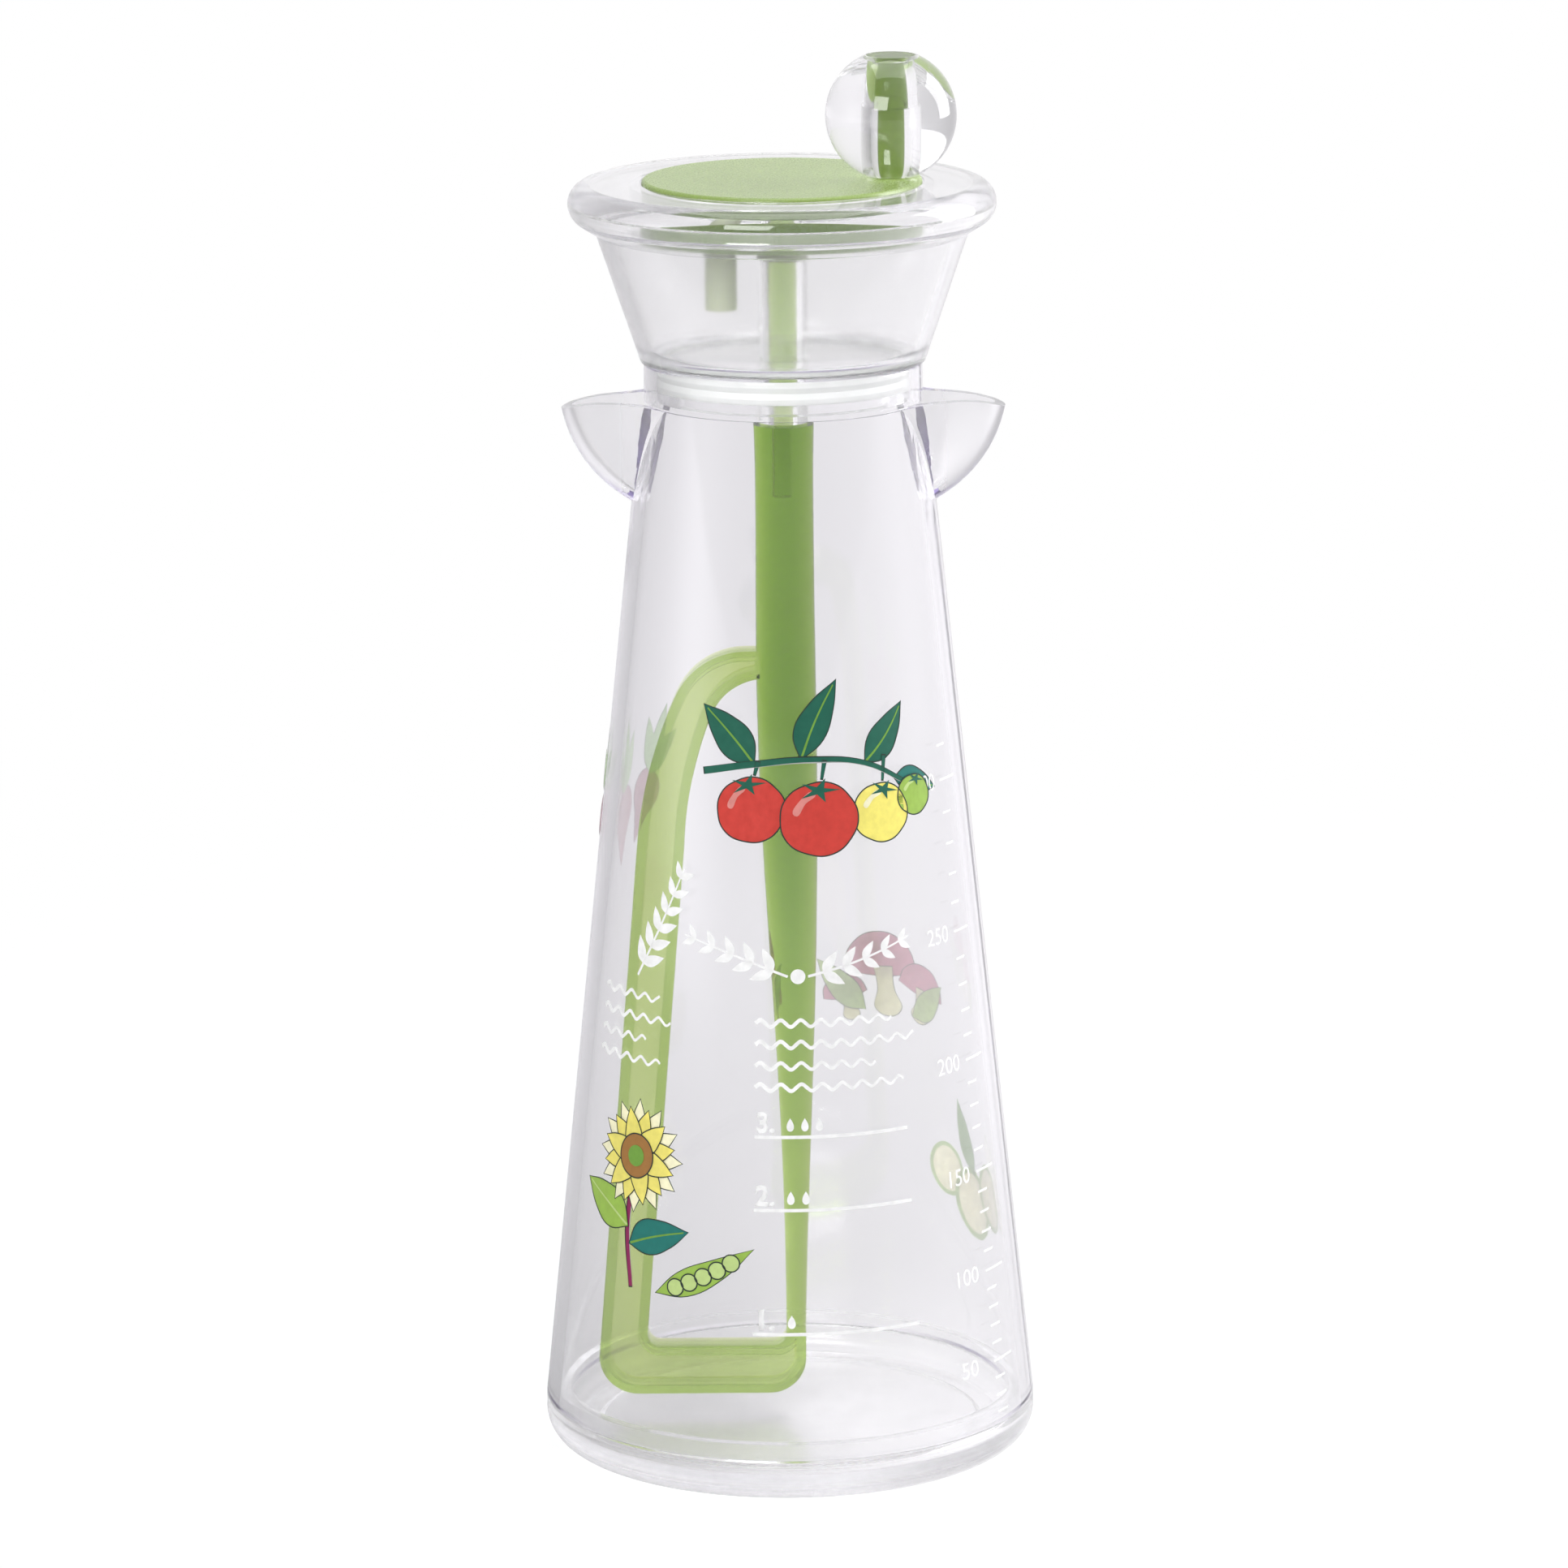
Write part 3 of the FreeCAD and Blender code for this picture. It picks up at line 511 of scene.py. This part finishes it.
def cloudy_green(name, colour, density, clarity):
    """Tinted plastic that lets light through: pale where it is thin and deep green where it is thick."""
    material, nodes = new_material(name)
    body = nodes.shader("BsdfPrincipled", {
        **green_skin(nodes, colour, grain_scale=1500, grain=0.02, roughness=0.14),
        "Transmission Weight": clarity,
        "IOR": CLOUDY_IOR,
    })
    nodes.surface(body, nodes.depth(CLOUDY_DEPTH, density))
    return material


def satin_green():
    """Solid green plastic with a fine satin face, painted paler on its peg (painted haze) and darker on its
    skirt (painted shade); its face has its own green.
    """
    material, nodes = new_material("satin_green")
    skin = green_skin(nodes, WHITE, grain_scale=3500, grain=0.25, roughness=0.28)
    # By height: painted haze on the peg, painted shade on the skirt, the face's own green
    shade = nodes.shades(nodes.ranged(nodes.place()["Z"], DISC_SPAN, curve="LINEAR"), DISC_GREENS_PAINTED_HAZE_AND_SHADE)
    skin["Base Color"] = nodes.vector("MULTIPLY", "Vector", skin["Base Color"], shade)
    nodes.surface(nodes.shader("BsdfPrincipled", {
        **skin,
        "Subsurface Weight": 0.3,
        "Subsurface Radius": (1.0, 1.2, 0.5),
        "Subsurface Scale": 3 * MM,
    }))
    return material


def milky_seal():
    material, nodes = new_material("milky_seal")
    cloud = nodes.noise(scale=400, detail=3)
    nodes.surface(nodes.shader("BsdfPrincipled", {
        "Base Color": nodes.blend(cloud, *SEAL_SHADES),
        "Roughness": nodes.spread(cloud, *SEAL_ROUGHNESS),
        "Transmission Weight": SEAL_CLARITY,
        "IOR": SEAL_IOR,
    }))
    return material


def ink(name, colour):
    """Screen-printed ink: a thin, slightly uneven satin film that lets some light through."""
    material, nodes = new_material(name)
    screen = nodes.noise(scale=900, detail=4)
    shade = nodes.blend(screen, *(tinted(colour, share) for share in INK_SHADES))
    skin = nodes.spread(screen, *INK_ROUGHNESS)
    body = nodes.shader("BsdfPrincipled", {"Base Color": shade, "Roughness": skin})
    through = nodes.shader("BsdfTranslucent", {"Color": shade})
    nodes.surface(nodes.mix(INK_THROUGH_SHARE, body, through))
    return material


def ink_materials():
    """Return each ink with its undercoat side."""
    made = {}
    for name, colour in INKS.items():
        under = tuple(part + (white - part) * UNDERCOAT_SHARE for part, white in zip(colour, INKS["white"]))
        made[name] = (ink(f"ink_{name}", colour), ink(f"ink_{name}_under", under))
    return made


def dress(node, material):
    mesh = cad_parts[node].data
    mesh.materials.clear()
    mesh.materials.append(material)


def dress_nodes():
    dress("bottle_body", clear_plastic("clear_wall", WALL_TINT, density=15.0, clarity=0.99, roughness=0.03,
                                       wave=0.01, soft_lips=0.3))
    dress("lid_cup", clear_plastic("clear_lid", LID_TINT, density=12.0, clarity=0.96, roughness=0.1,
                                   wave=0.004))
    dress("lid_top_ring", clear_plastic("clear_ring", LID_TINT, density=10.0, clarity=0.99, roughness=0.05,
                                        wave=0.002))
    dress("base_cap", clear_plastic("clear_base", LID_TINT, density=2.0, clarity=0.99, roughness=0.18,
                                    wave=0.0))
    dress("knob_ball", clear_plastic("clear_ball", BALL_TINT, density=6.0, clarity=0.99, roughness=0.05,
                                     wave=0.01))
    dress("lid_gasket", milky_seal())
    dress("mixing_paddle", cloudy_green("cloudy_green_paddle", PADDLE_GREEN, density=430.0, clarity=0.97))
    dress("drive_shaft", cloudy_green("cloudy_green_shaft", PADDLE_GREEN, density=520.0, clarity=0.97))
    dress("knob_pin", cloudy_green("cloudy_green_pin", PIN_GREEN, density=450.0, clarity=0.75))
    dress("crank_disc", satin_green())


def along_taper(low, high, height):
    """Return the radius at a height on a straight taper between two pairs of radius and height."""
    return low[0] + (high[0] - low[0]) * (height - low[1]) / (high[1] - low[1])


def wall_radius(height):
    """Return the outside radius of the bottle's wall at a height."""
    return along_taper(WALL_LOW, WALL_HIGH, height)


def fill_height(millilitres):
    """Return the height to which that much dressing fills the bottle."""
    height, volume = INSIDE_FLOOR, 0.0
    while volume < millilitres * CUBIC_MM_PER_ML:
        radius = along_taper(BORE_LOW, BORE_HIGH, max(height, BORE_LOW[1]))
        volume += math.pi * radius**2 * FILL_STEP
        height += FILL_STEP
    return height


def flat_mesh(curve):
    holder = bpy.data.objects.new(curve.name, curve)
    mesh = bpy.data.meshes.new_from_object(holder)
    bpy.data.objects.remove(holder)
    bpy.data.curves.remove(curve)
    return mesh


def filled(anchors, sharp=(), grows=(0.0,)):
    """Return a flat shape with a smooth outline through the anchors, and corners at the sharp ones.

    Each of grows gives an outline grown by that much; between two of them a ring is filled.
    """
    middle = sum((Vector(anchor) for anchor in anchors), Vector((0, 0))) / len(anchors)
    curve = bpy.data.curves.new("outline", "CURVE")
    curve.dimensions = "2D"
    curve.fill_mode = "BOTH"
    curve.resolution_u = CURVE_STEPS
    for grow in grows:
        spline = curve.splines.new("BEZIER")
        spline.bezier_points.add(len(anchors) - 1)
        spline.use_cyclic_u = True
        for index, anchor in enumerate(anchors):
            point = spline.bezier_points[index]
            away = Vector(anchor) - middle
            point.co = (*(Vector(anchor) + away.normalized() * grow), 0)
            point.handle_left_type = point.handle_right_type = "VECTOR" if index in sharp else "AUTO"
    return flat_mesh(curve)


def digits(text, size, weight=0.0):
    """Return plain numbers as a flat shape, grown by a weight."""
    curve = bpy.data.curves.new("digits", "FONT")
    curve.body = text
    curve.size = size
    curve.offset = weight
    curve.align_y = "BOTTOM_BASELINE"
    return flat_mesh(curve)


def scaled(anchors, size):
    return [(size * x, size * y) for x, y in anchors]


def moved(anchors, across, up):
    return [(x + across, y + up) for x, y in anchors]


def turned(anchors, degrees):
    turn = Matrix.Rotation(math.radians(degrees), 2)
    return [tuple(turn @ Vector(anchor)) for anchor in anchors]


def ring_of(count, radius, squeeze=1.0, lobe=1.0):
    """Return anchors round a circle; every second one lies at the lobe's share of the radius."""
    anchors = []
    for index in range(count):
        angle = 2 * math.pi * index / count
        reach = radius * (lobe if index % 2 else 1)
        anchors.append((reach * math.cos(angle), reach * squeeze * math.sin(angle)))
    return anchors


def bar_anchors(length, width):
    return [(0, 0), (length, 0), (length, width), (0, width)]


def bowed(length, bend, stops):
    """Return a path along +X that bends up towards its end."""
    return [(length * along, bend * length * along**2) for along in stops]


def leaf_anchors(length, width, bend=0.0):
    """Return a pointed leaf along +X from its stalk; bend lifts the tip."""
    return [(length * along, width * aside + bend * length * along**2) for along, aside in LEAF]


def stroke_anchors(path, width):
    """Return the outline of a line of some width along a path, thinner at its end."""
    points = [Vector(point) for point in path]
    last = len(points) - 1
    left, right = [], []
    for index, point in enumerate(points):
        along = (points[min(index + 1, last)] - points[max(index - 1, 0)]).normalized()
        half = Vector((-along.y, along.x)) * width / 2 * (1 - STROKE_TAPER * index / last)
        left.append(tuple(point + half))
        right.append(tuple(point - half))
    return left + right[::-1]


class Print:
    """Flat printed shapes, gathered in layers on a sheet and then wrapped onto the bottle's wall."""

    def __init__(self, name, inks):
        self.name = name
        self.inks = inks
        self.slots = []
        self.sheet = bmesh.new()

    def slot(self, name):
        if name not in self.slots:
            self.slots.append(name)
        return 2 * self.slots.index(name)

    def lay(self, flat, name, layer, across=0.0, up=0.0, turn=0.0):
        """Lay a flat shape on the sheet as a thin film of one ink."""
        film = bmesh.new()
        film.from_mesh(flat)
        place = Matrix.Translation((across, up, layer * LAYER_STEP))
        place = place @ Matrix.Rotation(math.radians(turn), 4, "Z")
        bmesh.ops.remove_doubles(film, verts=film.verts, dist=INK_THICKNESS / 4)
        bmesh.ops.transform(film, matrix=place, verts=film.verts)
        bmesh.ops.solidify(film, geom=film.faces[:], thickness=INK_THICKNESS)
        bmesh.ops.recalc_face_normals(film, faces=film.faces)
        slot = self.slot(name)
        for face in film.faces:
            faces_wall = face.normal.z < -0.5
            face.material_index = slot + faces_wall
        finished = bpy.data.meshes.new("film")
        film.to_mesh(finished)
        film.free()
        self.sheet.from_mesh(finished)
        bpy.data.meshes.remove(finished)
        bpy.data.meshes.remove(flat)

    def shape(self, anchors, name, layer, sharp=(), edge=0.0, **place):
        """Lay a filled outline, under a thin dark edge where one is asked for."""
        self.lay(filled(anchors, sharp), name, layer, **place)
        if edge:
            self.lay(filled(anchors, sharp, (edge, -edge / 2)), "outline", layer + 1, **place)

    def line(self, path, width, name, layer, edge=0.0, **place):
        """Lay a line along a path, with square ends."""
        count = len(path)
        ends = (0, count - 1, count, 2 * count - 1)
        self.shape(stroke_anchors(path, width), name, layer, ends, edge, **place)

    def leaf(self, length, width, name, rib, layer, bend, **place):
        self.shape(leaf_anchors(length, width, bend), name, layer, LEAF_CORNERS, EDGE_WIDTH, **place)
        self.line(bowed(length, bend, RIB_STOPS), RIB_WIDTH, rib, layer + 1, **place)

    def wrap(self):
        """Bend the sheet round the bottle's taper and add it as a piece."""
        sheet = self.sheet
        spread = [vert.co.x for vert in sheet.verts]
        for cut in range(math.ceil(min(spread) / WRAP_STEP), math.ceil(max(spread) / WRAP_STEP)):
            everything = sheet.verts[:] + sheet.edges[:] + sheet.faces[:]
            bmesh.ops.bisect_plane(sheet, geom=everything, dist=INK_THICKNESS / 10,
                                   plane_co=(cut * WRAP_STEP, 0, 0), plane_no=(1, 0, 0))
        azimuth, height = PRINT_PLACES[self.name]
        start, middle_radius = math.radians(azimuth), wall_radius(height)
        for vert in sheet.verts:
            across, up, out = vert.co
            angle = start + across / middle_radius
            radius = wall_radius(height + up) + PRINT_GAP + out
            vert.co = Vector((radius * math.sin(angle), -radius * math.cos(angle), height + up)) * MM
        materials = [side for name in self.slots for side in self.inks[name]]
        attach(add_mesh(self.name, sheet, materials), "bottle")


def draw_tomato(sheet, radius, skin, shine, layer, **place):
    sheet.shape(ring_of(10, radius, squeeze=0.94, lobe=0.97), skin, layer, edge=EDGE_WIDTH, **place)
    sheet.shape(scaled(TOMATO_GLINT, radius), shine, layer + 1, **place)
    star = [(0.55 * x, 0.72 + 0.32 * y) for x, y in ring_of(10, 1.0, lobe=0.3)]
    sheet.shape(scaled(star, radius), "deep_green", layer + 2, range(len(star)), **place)


def print_tomato_vine(inks):
    sheet = Print("print_tomato_vine", inks)
    sheet.leaf(12, 5.6, "deep_green", "leaf_green", 0, bend=0.12, across=-9, up=5.5, turn=128)
    sheet.leaf(13, 5.2, "deep_green", "leaf_green", 0, bend=-0.15, across=-2, up=6.2, turn=72)
    sheet.leaf(11, 5.0, "deep_green", "leaf_green", 0, bend=0.18, across=8, up=5.2, turn=38)
    sheet.leaf(9, 4.2, "teal", "leaf_green", 0, bend=-0.1, across=13, up=2.4, turn=-12)
    vine = [(-17, 4.2), (-9, 5.6), (0, 6.2), (8, 5.2), (15, 1.6)]
    sheet.line(vine, 1.1, "deep_green", 2, EDGE_WIDTH)
    for across, up, radius in ((-9.5, -1.2, 5.2), (0.6, -2.6, 5.9), (10.4, -2.4, 4.7)):
        stalk = [(across + 1.0, 6.0), (across + 0.5, up + radius)]
        sheet.line(stalk, 0.7, "deep_green", 2, EDGE_WIDTH)
    draw_tomato(sheet, 5.2, "red", "rose", 4, across=-9.5, up=-1.2, turn=8)
    draw_tomato(sheet, 4.7, "yellow", "cream", 4, across=10.4, up=-2.4, turn=-10)
    draw_tomato(sheet, 5.9, "red", "rose", 7, across=0.6, up=-2.6, turn=0)
    draw_tomato(sheet, 3.2, "light_green", "pale_green", 4, across=16.6, up=-0.6, turn=-14)
    sheet.wrap()


def draw_pea_pod(sheet, length, bend, layer, across, up, turn):
    pod = leaf_anchors(length, POD_WIDTH, bend)
    sheet.shape(pod, "light_green", layer, LEAF_CORNERS, EDGE_WIDTH, across=across, up=up, turn=turn)
    for x, y in moved(turned(bowed(length, bend, PEA_STOPS), turn), across, up):
        sheet.shape(ring_of(8, PEA_RADIUS), "pale_green", layer + 2, edge=EDGE_WIDTH, across=x, up=y)


def print_sunflower(inks):
    sheet = Print("print_sunflower", inks)
    head = {"across": -2, "up": 5}
    sheet.line([(-2, 4), (-3.2, -5), (-1.8, -15)], 1.2, "magenta", 0, EDGE_WIDTH)
    sheet.leaf(12, 6.2, "light_green", "pale_green", 2, bend=0.1, across=-3, up=-6, turn=148)
    sheet.leaf(11, 5.6, "teal", "leaf_green", 2, bend=-0.12, across=-2.6, up=-8.5, turn=24)
    for row, (length, name) in enumerate(((8.6, "cream"), (7.4, "yellow"))):
        for petal in range(SUNFLOWER_PETALS):
            turn = 360 * (petal + row / 2) / SUNFLOWER_PETALS
            layer = 4 + 4 * row + 2 * (petal % 2)
            sheet.shape(leaf_anchors(length, 3.6), name, layer, LEAF_CORNERS, EDGE_WIDTH, turn=turn, **head)
    sheet.shape(ring_of(12, 3.3), "amber", 12, edge=EDGE_WIDTH, **head)
    sheet.shape(ring_of(10, 1.6), "leaf_green", 14, **head)
    draw_pea_pod(sheet, 17, 0.14, 6, across=3, up=-15, turn=20)
    sheet.wrap()


def draw_mushroom(sheet, size, layer, **place):
    sheet.shape(scaled(MUSHROOM_STALK, size), "cream", layer, (0, 5), EDGE_WIDTH, **place)
    sheet.shape(scaled(MUSHROOM_CAP, size), "pink", layer + 2, (0, 4), EDGE_WIDTH, **place)
    for x, y, radius in MUSHROOM_SPOTS:
        spot = moved(ring_of(8, radius, squeeze=0.8), x, y)
        sheet.shape(scaled(spot, size), "blush", layer + 3, **place)


def print_mushrooms(inks):
    sheet = Print("print_mushrooms", inks)
    sheet.leaf(11, 4.8, "pale_green", "light_green", 0, bend=0.15, across=5, up=-6, turn=35)
    sheet.leaf(10, 4.4, "pale_green", "light_green", 0, bend=-0.15, across=-4, up=-6, turn=150)
    draw_mushroom(sheet, 5.0, 3, across=-6.5, up=-1.5, turn=12)
    draw_mushroom(sheet, 7.0, 8, across=1.5, up=1.0, turn=-6)
    draw_mushroom(sheet, 3.8, 13, across=8.5, up=-4.0, turn=-16)
    sheet.wrap()


def draw_radish(sheet, size, layer, **place):
    for lean, length in RADISH_LEAVES:
        leaf = turned(leaf_anchors(size * length, size * RADISH_LEAF_WIDTH), lean)
        leaf = moved(leaf, 0, RADISH_CROWN * size)
        sheet.shape(leaf, "leaf_green", layer, LEAF_CORNERS, EDGE_WIDTH, **place)
    sheet.shape(scaled(RADISH_ROOT, size), "magenta", layer + 2, (4,), EDGE_WIDTH, **place)
    sheet.shape(scaled(RADISH_GLINT, size), "pink", layer + 3, **place)


def print_radishes(inks):
    sheet = Print("print_radishes", inks)
    draw_radish(sheet, 4.4, 0, across=-5, up=0, turn=18)
    draw_radish(sheet, 4.9, 5, across=4, up=-1.5, turn=-12)
    sheet.wrap()


def draw_slice(sheet, radius, layer, across, up):
    """Draw a round slice: a rim, a pale middle and a ring of seeds."""
    place = {"across": across, "up": up}
    sheet.lay(filled(ring_of(12, radius), grows=(0, -SLICE_RIM * radius)), "light_green", layer, **place)
    sheet.shape(ring_of(12, SLICE_MIDDLE * radius), "cream", layer + 1, **place)
    for seed in range(SLICE_SEEDS):
        lean = 360 * seed / SLICE_SEEDS
        (x, y), = moved(turned([(SEED_RING * radius, 0)], lean), across, up)
        shape = leaf_anchors(*(share * radius for share in SEED_SIZE))
        sheet.shape(shape, "light_green", layer + 3, LEAF_CORNERS, across=x, up=y, turn=lean)


def print_cucumber(inks):
    sheet = Print("print_cucumber", inks)
    sheet.leaf(12, 4.4, "leaf_green", "pale_green", 0, bend=0.2, across=2, up=3, turn=60)
    draw_slice(sheet, 5.4, 3, across=-5, up=1)
    draw_slice(sheet, 5.8, 8, across=3.5, up=-2)
    draw_slice(sheet, 4.4, 13, across=11, up=2)
    sheet.wrap()


def print_scale(inks):
    """Millilitre marks up the side, with a plain number at every fifth mark."""
    sheet = Print("print_scale", inks)
    middle = PRINT_PLACES[sheet.name][1]
    for mark in SCALE_MARKS:
        numbered = mark % SCALE_NUMBER_EVERY == 0
        up = fill_height(mark) - middle
        length = NUMBERED_MARK_LENGTH if numbered else MARK_LENGTH
        sheet.shape(bar_anchors(length, MARK_WIDTH), "white", 0, range(4), up=up)
        if numbered:
            sheet.lay(digits(str(mark), SCALE_DIGIT_SIZE), "white", 1, across=-7.2, up=up - 0.9)
    sheet.wrap()


def draw_sprig(sheet, length, pairs, **place):
    """Draw a white sprig: a bowed stalk with pairs of small leaves that shrink towards its tip."""
    sheet.line(bowed(length, SPRIG_BOW, SPRIG_STOPS), SPRIG_STALK_WIDTH, "white", 0, **place)
    for pair in range(pairs):
        along = (pair + 0.7) / (pairs + 0.3)
        size = length * SPRIG_LEAF * (1 - SPRIG_LEAF_SHRINK * along)
        root = Vector(bowed(length, SPRIG_BOW, [along])[0])
        for lean in SPRIG_LEANS:
            leaf = turned(leaf_anchors(size, size * SPRIG_LEAF_WIDTH), lean)
            sheet.shape([root + Vector(anchor) for anchor in leaf], "white", 1, LEAF_CORNERS, **place)


def print_sprigs(inks):
    sheet = Print("print_sprigs", inks)
    draw_sprig(sheet, 17, 5, across=-1.5, up=-3, turn=158)
    draw_sprig(sheet, 17, 5, across=1.5, up=-3, turn=12)
    sheet.shape(ring_of(10, 1.1), "white", 1, up=-3)
    sheet.wrap()
    side = Print("print_side_sprig", inks)
    draw_sprig(side, 19, 6, up=-8, turn=62)
    side.wrap()


def print_steps(inks):
    """Three numbered fill lines on the front, with as many drops on each as its number."""
    sheet = Print("print_steps", inks)
    for number, up in enumerate(STEP_HEIGHTS, start=1):
        sheet.shape(bar_anchors(STEP_LENGTH, STEP_WIDTH), "white", 0, range(4), up=up)
        flat = digits(f"{number}.", STEP_DIGIT_SIZE, STEP_DIGIT_WEIGHT)
        sheet.lay(flat, "white", 1, across=0.2, up=up + 1.0)
        for drop in range(number):
            across = 5.6 + DROP_PITCH * drop
            sheet.shape(scaled(DROP, DROP_SIZE), "white", 1, (0,), across=across, up=up + 1.9)
    sheet.wrap()


def wave_path(length):
    count = int(length / WAVE_STEP) + 1
    return [(WAVE_STEP * index, WAVE_HEIGHT * math.sin(math.pi * index / 2)) for index in range(count)]


def print_waves(inks):
    """Rows of small white waves, on the front and on the left."""
    for name, rows in WAVE_ROWS.items():
        sheet = Print(name, inks)
        for row, length in enumerate(rows):
            sheet.line(wave_path(length), WAVE_WIDTH, "white", 0, up=-WAVE_ROW_PITCH * row)
        sheet.wrap()


def print_bottle():
    inks = ink_materials()
    for group in (print_tomato_vine, print_sunflower, print_mushrooms, print_radishes, print_cucumber,
                  print_scale, print_sprigs, print_steps, print_waves):
        group(inks)


scene = bpy.context.scene
scene.view_settings.view_transform = "Standard"
scene.cycles.max_bounces = LIGHT_BOUNCES
scene.cycles.glossy_bounces = LIGHT_BOUNCES
scene.cycles.transmission_bounces = LIGHT_BOUNCES
scene.cycles.transparent_max_bounces = LIGHT_BOUNCES

add_camera()
add_world()
add_floor()
add_lamps()
dress_nodes()
print_bottle()
